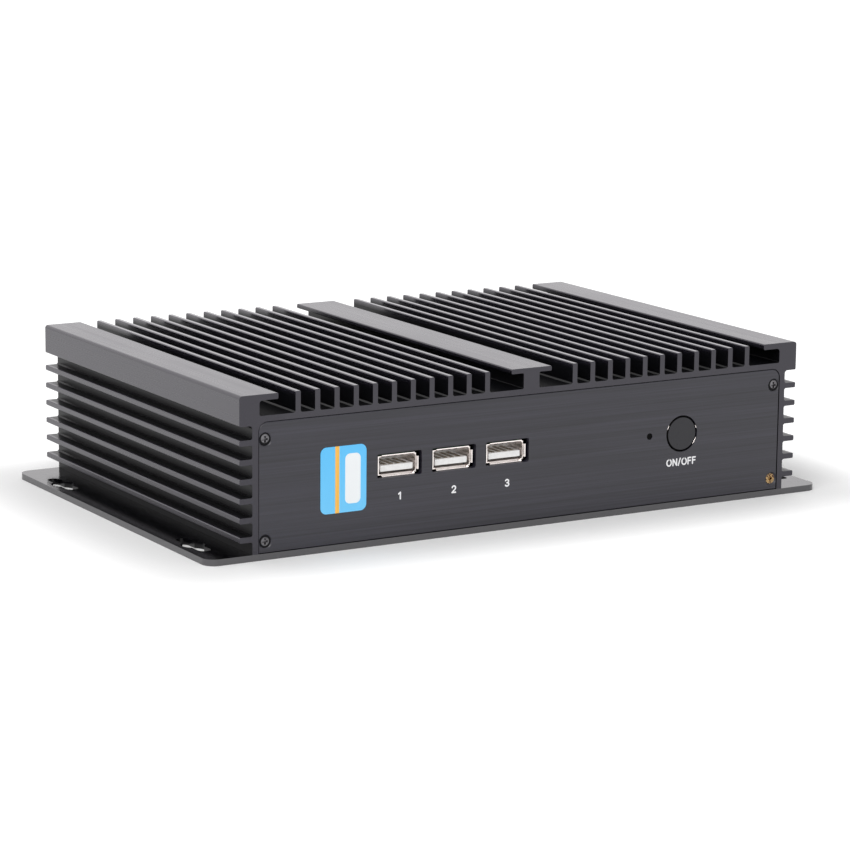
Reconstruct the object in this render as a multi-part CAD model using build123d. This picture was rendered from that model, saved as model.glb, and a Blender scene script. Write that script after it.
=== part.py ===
from build123d import *
import os

# Fanless industrial computer: a finned aluminium channel closed by a base plate with two
# ears and by a front and a rear panel. Millimetres. +X is to the right, -Y is the front,
# +Z is up. The origin is the centre of the base plate's underside.

# Overall sizes
depth = 138.0
chassis_width = 200.0
chassis_height = 47.7

# Base plate
plate_thickness = 2.0
plate_ear = 14.6
plate_corner_radius = 4.0
keyhole_inset = 5.2
keyhole_front = 20.0
keyhole_rear = 24.0
keyhole_radius = 3.75
keyhole_slot_radius = 2.0
keyhole_length = 18.0

# Chassis extrusion: walls, top and corner rails
fin_reach = 4.25
side_wall = 1.95
top_plate = 1.8
groove_depth = 6.4
inner_corner_radius = 3.0
rail_height = 9.1
rail_lip = 12.8
rail_lip_thickness = 1.8
rail_wall = 6.6
rail_edge_radius = 1.0
rail_root_radius = 0.5
t_flange_width = 14.4
t_flange_thickness = 1.5
t_stem_width = 5.65
t_stem_radius = 0.4

# Fins
top_fin_count = 11
top_fin_pitch = 6.49
top_fin_thickness = 1.7
top_fin_inset = 18.5
side_fin_count = 6
side_fin_pitch = 5.79
side_fin_thickness = 1.7
side_fin_drop = 13.2
fin_root_bevel = 0.4
fin_tip_chamfer = 0.25
slot_edge_radius = 0.4

# Ports, flanges and ribs inside the extrusion
port_inset = 2.3
port_radius = 3.0
port_top_drop = 13.5
port_spacing = 30.6
flange_width = 8.8
flange_height = 7.0
rib_spread = 140.0
rib_width = 8.0
rib_height = 3.0

# Panels
panel_thickness = 2.0
panel_side_gap = 0.2
panel_end_gap = 0.15
panel_edge_chamfer = 0.2

# Screws: heads, cores of the threads, lengths and the room around them
panel_screw_head_radius = 2.15
panel_screw_core_radius = 1.05
panel_screw_length = 9.0
panel_screw_sink = 0.25
brass_screw_sink = 0.5
plate_screw_head_radius = 2.8
plate_screw_core_radius = 1.25
plate_screw_length = 6.0
plate_screw_inset = 3.0
plate_screw_end = 19.0
plate_screw_sink = 0.1
board_screw_head_radius = 2.7
board_screw_head_height = 1.8
board_screw_core_radius = 1.25
board_screw_length = 6.0
board_screw_front = 16.0
board_screw_rear = 18.0
screw_clearance = 0.05
cross_width = 0.65
cross_depth = 0.7

# Main board, its stand-offs and what cools the processor
socket_centre_z = 24.0
board_thickness = 1.6
board_width = 170.0
board_front_gap = 3.0
board_rear_gap = 1.0
board_hole_radius = 1.6
standoff_across_flats = 5.0
standoff_stud_length = 3.0
processor_y = 8.0
processor_side = 25.0
processor_height = 1.2
die_side = 14.0
die_height = 0.6
pad_thickness = 0.5
pad_side = 24.0
block_side = 48.0
block_foot_side = 30.0
block_foot_height = 3.5

# USB sockets
usb_width = 13.1
usb_height = 5.8
usb_wall = 0.3
usb_length = 14.0
usb_lip = 0.45
usb_lip_length = 0.8
usb_lip_notch = 0.9
usb_recess = 0.9
usb_tongue_width = 11.1
usb_tongue_thickness = 1.84
usb_tongue_gap = 0.72
usb_tongue_recess = 1.0
usb_cavity_depth = 9.0
usb_contact_pitch = 2.3
usb_contact_width = 1.0
usb_contact_thickness = 0.15
usb_hole_gap = 1.15
usb_hole_gap_z = 0.8
usb_hole_rise = 0.25
usb_hole_radius = 0.7
front_usb_x = -46.2
front_usb_pitch = 18.95
front_usb_count = 3

# Power button, its switch and the pilot lamp
button_x = 56.2
button_drop = 0.2
button_radius = 5.45
button_gap = 0.4
button_flange = 1.2
button_flange_thickness = 1.2
button_flange_gap = 0.3
button_hub_radius = 3.0
button_hub_length = 3.0
button_travel = 0.8
button_chamfer = 0.3
plunger_radius = 1.7
plunger_length = 5.0
plunger_socket = 2.0
plunger_clearance = 0.07
plunger_over_travel = 0.2
switch_side = 6.2
switch_depth = 4.0
switch_gap = 2.2
lamp_x = 44.0
lamp_radius = 1.0
lamp_clearance = 0.05
lamp_flange_radius = 1.6
lamp_flange_thickness = 1.0
lamp_recess = 0.2
lamp_pipe_length = 8.0
lamp_body_width = 4.0
lamp_body_depth = 4.5
lamp_body_drop = 5.0

# Front label
label_x = -65.45
label_z = 21.7
label_width = 15.5
label_height = 20.2
label_radius = 2.0
label_thickness = 0.15

# Rear connectors
connector_gap = 0.2
cutout_gap = 0.4
usb_stack_width = 14.4
usb_stack_height = 15.6
usb_stack_length = 17.5
usb_stack_pitch = 7.9
usb_stack_1_x = -33.0
usb_stack_2_x = -51.0
usb_stack_nose = 1.4
lan_width = 16.0
lan_height = 13.5
lan_length = 21.3
lan_wall = 0.25
lan_nose = 1.4
lan_mouth_width = 11.8
lan_mouth_height = 6.9
lan_mouth_depth = 13.0
lan_mouth_drop = 7.2
lan_latch_width = 6.2
lan_latch_height = 2.0
lan_contact_pitch = 1.02
lan_contact_width = 0.5
lan_contact_thickness = 0.35
lan_1_x = 4.0
lan_2_x = -14.0
hdmi_x = 24.0
hdmi_width = 15.0
hdmi_height = 5.6
hdmi_wall = 0.4
hdmi_length = 11.0
hdmi_bevel = 1.6
hdmi_tongue_width = 11.6
hdmi_tongue_thickness = 1.4
hdmi_nose = 1.6
com_x = 50.0
com_drop = 6.8
com_flange_width = 30.8
com_flange_height = 12.5
com_flange_thickness = 0.8
com_shell_width = 16.9
com_shell_height = 8.4
com_shell_slant = 1.5
com_shell_wall = 0.5
com_shell_reach = 6.0
com_shell_radius = 1.6
com_body_width = 19.2
com_body_length = 12.0
com_pin_side = 1.0
com_pin_pitch = 2.77
com_pin_row = 2.84
com_pin_length = 5.2
com_screw_spread = 25.0
com_nut_across_flats = 4.8
com_nut_length = 5.0
com_nut_core_radius = 1.2
com_nut_bore_radius = 1.25
com_nut_stem_length = 6.0
dc_x = 74.0
dc_width = 9.0
dc_height = 11.0
dc_length = 14.0
dc_drop = 6.0
dc_nose_radius = 3.9
dc_nose_reach = 2.4
dc_bore_radius = 3.15
dc_bore_depth = 9.5
dc_pin_radius = 1.25
audio_1_x = -66.0
audio_2_x = -77.5
audio_width = 7.0
audio_height = 6.6
audio_length = 14.0
audio_nose_radius = 3.0
audio_nose_reach = 2.4
audio_bore_radius = 1.8
audio_bore_depth = 14.0
plug_spread = 156.0
plug_drop = 14.5
plug_head_radius = 4.3
plug_head_height = 1.2
plug_barrel_radius = 3.2
plug_barrel_gap = 0.05
plug_length = 5.0

# Memory, storage, battery and the parts of the power supply
memory_x = 28.0
memory_y = -4.0
memory_width = 67.6
memory_length = 30.0
memory_thickness = 1.0
memory_socket_height = 4.0
memory_socket_bar = 5.5
memory_socket_arm = 2.4
memory_slot_gap = 0.05
memory_slot_depth = 3.0
memory_chip_start = 9.0
memory_chip_count = 4
memory_chip_pitch = 15.4
storage_x = -50.0
storage_y = -28.0
storage_width = 22.0
storage_length = 80.0
storage_thickness = 0.8
storage_socket_length = 6.5
storage_socket_height = 4.2
storage_drop = 2.4
storage_chip_start = 12.0
storage_chip_count = 3
storage_chip_pitch = 19.0
storage_screw_radius = 1.0
storage_screw_head_radius = 2.2
battery_x = -66.0
battery_y = 4.0
battery_radius = 10.0
battery_thickness = 3.2
battery_holder_wall = 1.2
battery_holder_floor = 1.0
choke_side = 6.8
choke_height = 4.0
choke_count = 4
choke_pitch = 9.5
capacitor_radius = 3.15
capacitor_height = 5.8
capacitor_count = 5
capacitor_pitch = 9.0
chip_thickness = 1.0
chip_width = 10.0
chip_length = 13.0
bridge_side = 12.0
network_side = 9.0
boot_side = 8.0
board_chip_gap = 15.0
board_chip_row = 14.0

# Places worked out from the sizes above
front_y = -depth / 2
rear_y = depth / 2
front_inner_y = front_y + panel_thickness
rear_inner_y = rear_y - panel_thickness
half_width = chassis_width / 2
wall_outer = half_width - fin_reach
wall_inner = wall_outer - side_wall
plate_half = wall_outer + plate_ear
top_z = plate_thickness + chassis_height
floor_z = top_z - groove_depth
ceiling_z = floor_z - top_plate
rib_z = ceiling_z - rib_height
port_x = wall_inner - port_inset
port_top_z = top_z - port_top_drop
port_bottom_z = port_top_z - port_spacing
flange_x = wall_inner - flange_width
plate_screw_x = flange_x + plate_screw_inset
board_z = socket_centre_z + usb_height / 2
board_top_z = board_z + board_thickness
board_front_y = front_inner_y + board_front_gap
board_rear_y = rear_inner_y - board_rear_gap
connector_y = rear_inner_y - connector_gap
panel_half = wall_inner - panel_side_gap
panel_low_z = plate_thickness + panel_end_gap
panel_high_z = ceiling_z - panel_end_gap
button_z = socket_centre_z - button_drop
button_hub_y = front_inner_y + button_flange_gap + button_flange_thickness
plunger_y = button_hub_y + button_hub_length - plunger_socket
switch_y = button_hub_y + button_hub_length + switch_gap
lamp_y = front_y + lamp_recess + lamp_pipe_length


def block(x0, x1, y0, y1, z0, z1):
    """A box between two opposite corners."""
    centre = Pos((x0 + x1) / 2, (y0 + y1) / 2, (z0 + z1) / 2)
    return centre * Box(abs(x1 - x0), abs(y1 - y0), abs(z1 - z0))


def rod(x, z, radius, y0, y1):
    """A round bar along Y."""
    return Pos(x, (y0 + y1) / 2, z) * Rot(90, 0, 0) * Cylinder(radius, abs(y1 - y0))


def post(x, y, radius, z0, z1):
    """A round bar along Z."""
    return Pos(x, y, (z0 + z1) / 2) * Cylinder(radius, abs(z1 - z0))


def area(x0, x1, z0, z1):
    """A rectangle in a section that is drawn in X and Z."""
    return Pos((x0 + x1) / 2, (z0 + z1) / 2) * Rectangle(abs(x1 - x0), abs(z1 - z0))


def upright(y):
    """The plane at y in which a section's own x and y run along X and Z."""
    return Plane(origin=(0, y, 0), x_dir=(1, 0, 0), z_dir=(0, -1, 0))


def prism(section, y0, y1):
    """A section in X and Z carried along Y."""
    return extrude(upright(y0) * section, amount=y1 - y0, dir=(0, 1, 0))


def corners(section, places):
    """The corners of a section that lie at the given places, on both sides of its middle."""
    wanted = {(round(side * x, 3), round(z, 3)) for x, z in places for side in (-1, 1)}
    return [v for v in section.vertices() if (round(v.X, 3), round(v.Y, 3)) in wanted]


def group(solids):
    """Separate solids kept as one node."""
    return Compound(children=[s.solid() for s in solids])


def countersunk(head_radius, core_radius, length, room=0.0):
    """A countersunk screw standing on its tip, with the top of its head at z = 0."""
    cone = head_radius - core_radius
    head = Pos(0, 0, -cone / 2) * Cone(core_radius + room, head_radius + room, cone)
    return head + Pos(0, 0, -length / 2) * Cylinder(core_radius + room, length)


def cross_recess(head_radius):
    """The cross-shaped hole for the driver, in a head whose top is at z = 0."""
    slot = Box(head_radius, cross_width, 2 * cross_depth)
    return slot + Rot(0, 0, 90) * slot


def countersunk_screw(head_radius, core_radius, length):
    return countersunk(head_radius, core_radius, length) - cross_recess(head_radius)


def top_fin_edges():
    """Outer and inner X of each fin of one top bay."""
    outer = [half_width - top_fin_inset - i * top_fin_pitch for i in range(top_fin_count)]
    return [(x - top_fin_thickness, x) for x in outer]


def side_fin_edges():
    """Lower and upper Z of each side fin."""
    tops = [top_z - side_fin_drop - i * side_fin_pitch for i in range(side_fin_count)]
    return [(z - side_fin_thickness, z) for z in tops]


def channel_section():
    """The outline of the extrusion: top, walls, corner rails, T-shaped rail and fins."""
    rail_low_z = top_z - rail_height
    lip_x = half_width - rail_lip
    lip_z = top_z - rail_lip_thickness
    rail_x = half_width - rail_wall
    stem = t_stem_width / 2
    flange = t_flange_width / 2
    flange_z = top_z - t_flange_thickness

    section = area(-wall_outer, wall_outer, ceiling_z, floor_z)
    section += area(-stem, stem, ceiling_z, top_z)
    section += area(-flange, flange, flange_z, top_z)
    for side in (-1, 1):
        section += area(side * wall_inner, side * wall_outer, plate_thickness, floor_z)
        section += area(side * min(rail_x, wall_inner), side * half_width, rail_low_z, top_z)
        section += area(side * lip_x, side * half_width, lip_z, top_z)
        for x0, x1 in top_fin_edges():
            section += area(side * x0, side * x1, ceiling_z, top_z)
        for z0, z1 in side_fin_edges():
            section += area(side * wall_inner, side * half_width, z0, z1)
    section -= area(-wall_inner, wall_inner, plate_thickness, ceiling_z)

    top_roots = [(x, floor_z) for edges in top_fin_edges() for x in edges]
    top_tips = [(x, top_z) for edges in top_fin_edges() for x in edges]
    side_roots = [(wall_outer, z) for edges in side_fin_edges() for z in edges]
    side_tips = [(half_width, z) for edges in side_fin_edges() for z in edges]
    section = chamfer(corners(section, top_roots + side_roots), fin_root_bevel)
    section = chamfer(corners(section, top_tips + side_tips), fin_tip_chamfer)
    section = fillet(corners(section, [(rail_x, floor_z)]), rail_root_radius)
    section = fillet(corners(section, [(stem, floor_z), (stem, flange_z)]), t_stem_radius)
    section = fillet(corners(section, [(half_width, top_z)]), rail_edge_radius)
    section = fillet(corners(section, [(rail_x, lip_z), (wall_outer, rail_low_z)]), rail_edge_radius)
    slot_edges = [(lip_x, lip_z), (lip_x, top_z), (flange, flange_z), (flange, top_z)]
    section = fillet(corners(section, slot_edges + [(half_width, rail_low_z)]), slot_edge_radius)
    return fillet(corners(section, [(wall_inner, ceiling_z)]), inner_corner_radius)


def inner_section():
    """What the extrusion carries inside: screw ports, bottom flanges and board ribs."""
    rib_x = rib_spread / 2
    into_wall = wall_inner + side_wall / 2
    section = Sketch()
    for side in (-1, 1):
        port = Pos(side * port_x, port_top_z) * Circle(port_radius)
        section += port + area(side * port_x, side * into_wall, port_top_z - 1, port_top_z + 1)
        low, high = plate_thickness, plate_thickness + flange_height
        section += area(side * flange_x, side * into_wall, low, high)
        left, right = side * rib_x - rib_width / 2, side * rib_x + rib_width / 2
        section += area(left, right, rib_z, ceiling_z + top_plate / 2)
        for z in (port_top_z, port_bottom_z):
            section -= Pos(side * port_x, z) * Circle(panel_screw_core_radius + screw_clearance)
    return section & area(-into_wall, into_wall, plate_thickness, floor_z)


def plate_screw_places():
    """X and Y of the screws that hold the base plate."""
    rows = (front_y + plate_screw_end, rear_y - plate_screw_end)
    return [(side * plate_screw_x, y) for side in (-1, 1) for y in rows]


def board_screw_places():
    """X and Y of the board's stand-offs and screws."""
    rows = (board_front_y + board_screw_front, board_rear_y - board_screw_rear)
    return [(side * rib_spread / 2, y) for side in (-1, 1) for y in rows]


def panel_screw_places():
    """X and Z of the screws that hold one panel."""
    return [(side * port_x, z) for side in (-1, 1) for z in (port_bottom_z, port_top_z)]


def chassis_extrusion():
    shell = prism(channel_section(), front_y, rear_y)
    inside = prism(inner_section(), front_inner_y, rear_inner_y)
    body = shell + inside
    for x, y in plate_screw_places():
        hole = plate_screw_core_radius + screw_clearance
        body -= post(x, y, hole, plate_thickness, plate_thickness + plate_screw_length)
    for x, y in board_screw_places():
        hole = board_screw_core_radius + screw_clearance
        body -= post(x, y, hole, rib_z, rib_z + standoff_stud_length + screw_clearance)
    return body


def keyhole(x, y):
    """A round hole with a slot to each side of it along Y."""
    reach = keyhole_length / 2 - keyhole_slot_radius
    cut = post(x, y, keyhole_radius, 0, plate_thickness)
    for side in (-1, 1):
        cut += post(x, y + side * reach, keyhole_slot_radius, 0, plate_thickness)
    slot = keyhole_slot_radius
    return cut + block(x - slot, x + slot, y - reach, y + reach, 0, plate_thickness)


def base_plate():
    outline = RectangleRounded(2 * plate_half, depth, plate_corner_radius)
    plate = extrude(outline, amount=plate_thickness)
    for side in (-1, 1):
        for y in (front_y + keyhole_front, rear_y - keyhole_rear):
            plate -= keyhole(side * (plate_half - keyhole_inset), y)
    cutter = countersunk(plate_screw_head_radius, plate_screw_core_radius,
                         plate_screw_length, 2 * screw_clearance)
    for x, y in plate_screw_places():
        plate -= Pos(x, y, plate_screw_sink) * Rot(180, 0, 0) * cutter
        plate -= post(x, y, plate_screw_head_radius + 2 * screw_clearance, 0, plate_screw_sink)
    return plate


def blank_panel(outer_y, inward):
    """A panel without its connector holes, with countersunk holes in its four corners."""
    outline = area(-panel_half, panel_half, panel_low_z, panel_high_z)
    outline = fillet(corners(outline, [(panel_half, panel_high_z)]),
                     inner_corner_radius - panel_side_gap)
    inner_y = outer_y + inward * panel_thickness
    panel = prism(outline, min(outer_y, inner_y), max(outer_y, inner_y))
    rim = panel.faces().sort_by(Axis.Y)[0 if inward > 0 else -1].edges()
    panel = chamfer(rim, panel_edge_chamfer)
    cutter = countersunk(panel_screw_head_radius, panel_screw_core_radius,
                         panel_screw_length, screw_clearance)
    for x, z in panel_screw_places():
        panel -= Pos(x, outer_y, z) * Rot(90 * inward, 0, 0) * cutter
    return panel


def front_usb_places():
    """X of the front USB sockets."""
    return [front_usb_x + i * front_usb_pitch for i in range(front_usb_count)]


def front_panel():
    panel = blank_panel(front_y, 1)
    hole = RectangleRounded(usb_width + 2 * usb_hole_gap, usb_height + 2 * usb_hole_gap_z,
                            usb_hole_radius)
    for x in front_usb_places():
        panel -= prism(Pos(x, socket_centre_z + usb_hole_rise) * hole, front_y, front_inner_y)
    panel -= rod(button_x, button_z, button_radius + button_gap, front_y, front_inner_y)
    panel -= rod(lamp_x, socket_centre_z, lamp_radius + lamp_clearance, front_y, front_inner_y)
    return panel


def com_outline(grow):
    """The D-shaped outline of the serial port, grown all round by an amount."""
    half = com_shell_width / 2 + grow
    high = com_shell_height / 2 + grow
    points = [(-half, high), (half, high), (half - com_shell_slant, -high),
              (-half + com_shell_slant, -high)]
    outline = make_face(Polyline(*points, close=True))
    return fillet(outline.vertices(), com_shell_radius + grow)


def hdmi_outline(grow):
    """The bevelled outline of the video port, grown all round by an amount."""
    half = hdmi_width / 2 + grow
    high = hdmi_height / 2 + grow
    outline = area(-half, half, -high, high)
    return chamfer(corners(outline, [(half, -high)]), hdmi_bevel)


def usb_stack_places():
    return [usb_stack_1_x, usb_stack_2_x]


def lan_places():
    return [lan_1_x, lan_2_x]


def audio_places():
    return [audio_1_x, audio_2_x]


def plug_places():
    return [-plug_spread / 2, plug_spread / 2]


def com_screw_places():
    return [com_x - com_screw_spread / 2, com_x + com_screw_spread / 2]


def audio_z():
    return board_z - audio_height / 2


def com_z():
    return board_z - com_drop


def dc_z():
    return board_z - dc_drop


def hdmi_z():
    return board_z - hdmi_height / 2


def plug_z():
    return top_z - plug_drop


def rear_panel():
    panel = blank_panel(rear_y, -1)

    def cut(section):
        return prism(section, rear_inner_y, rear_y)

    gap = cutout_gap
    for x in usb_stack_places():
        half = usb_stack_width / 2
        panel -= cut(area(x - half - gap, x + half + gap, board_z - usb_stack_height - gap, board_z + gap))
    for x in lan_places():
        half = lan_width / 2
        panel -= cut(area(x - half - gap, x + half + gap, board_z - lan_height - gap, board_z + gap))
    panel -= cut(Pos(hdmi_x, hdmi_z()) * hdmi_outline(gap))
    panel -= cut(Pos(com_x, com_z()) * com_outline(gap))
    for x in com_screw_places():
        panel -= rod(x, com_z(), com_nut_core_radius + gap, rear_inner_y, rear_y)
    panel -= rod(dc_x, dc_z(), dc_nose_radius + gap, rear_inner_y, rear_y)
    for x in audio_places():
        panel -= rod(x, audio_z(), audio_nose_radius + gap, rear_inner_y, rear_y)
    for x in plug_places():
        panel -= rod(x, plug_z(), plug_barrel_radius + plug_barrel_gap, rear_inner_y, rear_y)
    return panel


def panel_screws(outer_y, inward, sink=panel_screw_sink):
    """The four screws of one panel, in the order of panel_screw_places, with their heads sunk
    below its face: a smaller head seats deeper in the same cone."""
    screw = countersunk_screw(panel_screw_head_radius - sink, panel_screw_core_radius,
                              panel_screw_length - sink)
    turned = Pos(0, outer_y + inward * sink, 0) * Rot(90 * inward, 0, 0) * screw
    return [Pos(x, 0, z) * turned for x, z in panel_screw_places()]


def base_plate_screws():
    screw = countersunk_screw(plate_screw_head_radius, plate_screw_core_radius, plate_screw_length)
    turned = Rot(180, 0, 0) * screw
    return group([Pos(x, y, plate_screw_sink) * turned for x, y in plate_screw_places()])


def power_button():
    """A round cap with a flange behind the panel and a hub that grips the plunger."""
    flange_y = front_inner_y + button_flange_gap
    cap = rod(button_x, button_z, button_radius, front_y, flange_y)
    cap = chamfer(cap.faces().sort_by(Axis.Y)[0].edges(), button_chamfer)
    cap += rod(button_x, button_z, button_radius + button_flange, flange_y, button_hub_y)
    cap += rod(button_x, button_z, button_hub_radius, button_hub_y, button_hub_y + button_hub_length)
    socket = rod(button_x, button_z, plunger_radius + screw_clearance,
                 plunger_y, button_hub_y + button_hub_length)
    return cap - socket


def switch_plunger():
    return rod(button_x, button_z, plunger_radius, plunger_y, plunger_y + plunger_length)


def power_switch():
    """A side-facing push switch under the board, with a bore for its plunger."""
    half = switch_side / 2
    body = block(button_x - half, button_x + half, switch_y, switch_y + switch_depth,
                 board_z - switch_side, board_z)
    end_y = plunger_y + plunger_length + button_travel + plunger_over_travel
    return body - rod(button_x, button_z, plunger_radius + plunger_clearance, switch_y, end_y)


def led_light_pipe():
    pipe = rod(lamp_x, socket_centre_z, lamp_radius, front_y + lamp_recess, lamp_y)
    flange_y = front_inner_y + lamp_clearance
    return pipe + rod(lamp_x, socket_centre_z, lamp_flange_radius, flange_y,
                      flange_y + lamp_flange_thickness)


def power_led():
    half = lamp_body_width / 2
    return block(lamp_x - half, lamp_x + half, lamp_y, lamp_y + lamp_body_depth,
                 board_z - lamp_body_drop, board_z)


def front_label():
    outline = Pos(label_x, label_z) * RectangleRounded(label_width, label_height, label_radius)
    return prism(outline, front_y - label_thickness, front_y)


def usb_shell(x):
    """A folded steel sleeve with four lips that open outwards at the mouth, apart at its corners."""
    mouth_y = front_y + usb_recess
    lip_y = mouth_y + usb_lip_length
    end_y = mouth_y + usb_length
    half, high = usb_width / 2, usb_height / 2
    z = socket_centre_z
    sleeve = block(x - half, x + half, lip_y, end_y, z - high, z + high)
    bore = block(x - half + usb_wall, x + half - usb_wall, lip_y, end_y,
                 z - high + usb_wall, z + high - usb_wall)

    def flare(inset):
        width, height = usb_width - 2 * inset, usb_height - 2 * inset
        wide = Rectangle(width + 2 * usb_lip, height + 2 * usb_lip)
        return loft([upright(mouth_y) * Pos(x, z) * wide, upright(lip_y) * Pos(x, z) * Rectangle(width, height)],
                    ruled=True)

    lips = flare(0) - flare(usb_wall)
    side_x, side_z = half - usb_lip_notch, high - usb_lip_notch
    for dx in (-1, 1):
        for dz in (-1, 1):
            lips -= block(x + dx * side_x, x + dx * 2 * half, mouth_y, lip_y,
                          z + dz * side_z, z + dz * 2 * high)
    return (sleeve - bore) + lips


def usb_tongue_z(inner_low_z):
    """Lower and upper Z of the tongue in a mouth whose floor is at inner_low_z."""
    low = inner_low_z + usb_tongue_gap
    return low, low + usb_tongue_thickness


def usb_contact_places(x):
    return [x + usb_contact_pitch * (i - 1.5) for i in range(4)]


def usb_insulator(x):
    """The moulded block at the back of a socket, with the tongue that carries the contacts."""
    mouth_y = front_y + usb_recess
    half, high = usb_width / 2 - usb_wall, usb_height / 2 - usb_wall
    z = socket_centre_z
    cavity_y = mouth_y + usb_cavity_depth
    body = block(x - half, x + half, cavity_y, mouth_y + usb_length, z - high, z + high)
    low, high_z = usb_tongue_z(z - high)
    tongue = block(x - usb_tongue_width / 2, x + usb_tongue_width / 2,
                   mouth_y + usb_tongue_recess, cavity_y, low, high_z)
    return body + tongue


def front_usb_contacts():
    mouth_y = front_y + usb_recess
    low, high = usb_tongue_z(socket_centre_z - usb_height / 2 + usb_wall)
    strips = []
    for socket_x in front_usb_places():
        for x in usb_contact_places(socket_x):
            half = usb_contact_width / 2
            strips.append(block(x - half, x + half, mouth_y + 2 * usb_tongue_recess,
                                mouth_y + usb_cavity_depth, high, high + usb_contact_thickness))
    return group(strips)


def usb_stack_mouths():
    """Z of the middles of the two mouths of a rear USB socket."""
    middle = board_z - usb_stack_height / 2
    return [middle - usb_stack_pitch / 2, middle + usb_stack_pitch / 2]


def usb_stack_box(x, inset):
    half = usb_stack_width / 2 - inset
    face_y = connector_y + usb_stack_nose - inset
    return block(x - half, x + half, connector_y + usb_stack_nose - usb_stack_length, face_y,
                 board_z - usb_stack_height + inset, board_z - inset)


def usb_stack_cavity(x, z, face_y):
    half, high = usb_width / 2 - usb_wall, usb_height / 2 - usb_wall
    cavity = block(x - half, x + half, face_y - usb_cavity_depth, face_y, z - high, z + high)
    low, high_z = usb_tongue_z(z - high)
    tongue_half = usb_tongue_width / 2
    return cavity, block(x - tongue_half, x + tongue_half, face_y - usb_cavity_depth,
                         face_y - usb_tongue_recess, low, high_z)


def usb_stack_shell(x):
    """The steel cover of a double socket, open where its two mouths are."""
    face_y = connector_y + usb_stack_nose
    shell = usb_stack_box(x, 0) - usb_stack_box(x, usb_wall)
    for z in usb_stack_mouths():
        shell -= usb_stack_cavity(x, z, face_y)[0]
    return shell


def usb_stack_insulator(x):
    face_y = connector_y + usb_stack_nose
    body = usb_stack_box(x, usb_wall)
    for z in usb_stack_mouths():
        cavity, tongue = usb_stack_cavity(x, z, face_y)
        body = body - cavity + tongue
    return body


def rear_usb_contacts():
    face_y = connector_y + usb_stack_nose
    strips = []
    for stack_x in usb_stack_places():
        for z in usb_stack_mouths():
            low, high = usb_tongue_z(z - usb_height / 2 + usb_wall)
            for x in usb_contact_places(stack_x):
                half = usb_contact_width / 2
                strips.append(block(x - half, x + half, face_y - usb_cavity_depth,
                                    face_y - 2 * usb_tongue_recess, high, high + usb_contact_thickness))
    return group(strips)


def lan_box(x, inset):
    half = lan_width / 2 - inset
    face_y = connector_y + lan_nose
    return block(x - half, x + half, face_y - lan_length + inset, face_y,
                 board_z - lan_height + inset, board_z - inset)


def lan_shield(x):
    """The steel can round a network socket, open at the rear panel."""
    return lan_box(x, 0) - lan_box(x, lan_wall)


def lan_insert(x):
    """The moulded socket with its stepped mouth, the latch's slot towards the board."""
    face_y = connector_y + lan_nose
    mouth_z = board_z - lan_mouth_drop
    half, high = lan_mouth_width / 2, lan_mouth_height / 2
    mouth = block(x - half, x + half, face_y - lan_mouth_depth, face_y, mouth_z - high, mouth_z + high)
    latch = block(x - lan_latch_width / 2, x + lan_latch_width / 2, face_y - lan_mouth_depth, face_y,
                  mouth_z + high, mouth_z + high + lan_latch_height)
    return lan_box(x, lan_wall) - mouth - latch


def lan_contacts():
    """Eight sprung wires on the floor of each network socket."""
    face_y = connector_y + lan_nose
    low = board_z - lan_mouth_drop - lan_mouth_height / 2
    wires = []
    for socket_x in lan_places():
        for i in range(8):
            x = socket_x + lan_contact_pitch * (i - 3.5)
            half = lan_contact_width / 2
            wires.append(block(x - half, x + half, face_y - lan_mouth_depth, face_y - lan_nose,
                               low, low + lan_contact_thickness))
    return group(wires)


def hdmi_shell():
    face_y = connector_y + hdmi_nose
    place = Pos(hdmi_x, hdmi_z())
    sleeve = prism(place * hdmi_outline(0), face_y - hdmi_length, face_y)
    return sleeve - prism(place * hdmi_outline(-hdmi_wall), face_y - hdmi_length, face_y)


def hdmi_insulator():
    face_y = connector_y + hdmi_nose
    back_y = face_y - hdmi_length
    body = prism(Pos(hdmi_x, hdmi_z()) * hdmi_outline(-hdmi_wall), back_y, back_y + hdmi_length / 4)
    half, high = hdmi_tongue_width / 2, hdmi_tongue_thickness / 2
    return body + block(hdmi_x - half, hdmi_x + half, back_y, face_y - usb_tongue_recess,
                        hdmi_z() - high, hdmi_z() + high)


def com_port_shell():
    """A steel flange behind the panel with a D-shaped collar drawn out of it."""
    flange_y = rear_inner_y - com_flange_thickness
    half, high = com_flange_width / 2, com_flange_height / 2
    z = com_z()
    shell = block(com_x - half, com_x + half, flange_y, rear_inner_y, z - high, z + high)
    place = Pos(com_x, z)
    shell += prism(place * com_outline(0), flange_y, flange_y + com_shell_reach)
    shell -= prism(place * com_outline(-com_shell_wall), flange_y, flange_y + com_shell_reach)
    for x in com_screw_places():
        shell -= rod(x, z, com_nut_core_radius + cutout_gap, flange_y, rear_inner_y)
    return shell


def com_port_insulator():
    flange_y = rear_inner_y - com_flange_thickness
    half, high = com_body_width / 2, com_flange_height / 2
    z = com_z()
    body = block(com_x - half, com_x + half, flange_y - com_body_length, flange_y, z - high, board_z)
    return body + prism(Pos(com_x, z) * com_outline(-com_shell_wall), flange_y, rear_inner_y)


def com_port_pins():
    pins = []
    for count, row in ((5, 1), (4, -1)):
        for i in range(count):
            x = com_x + com_pin_pitch * (i - (count - 1) / 2)
            z = com_z() + row * com_pin_row / 2
            section = RegularPolygon(com_pin_side / 2, 8, major_radius=False)
            pins.append(prism(Pos(x, z) * section, rear_inner_y, rear_inner_y + com_pin_length))
    return group(pins)


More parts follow.
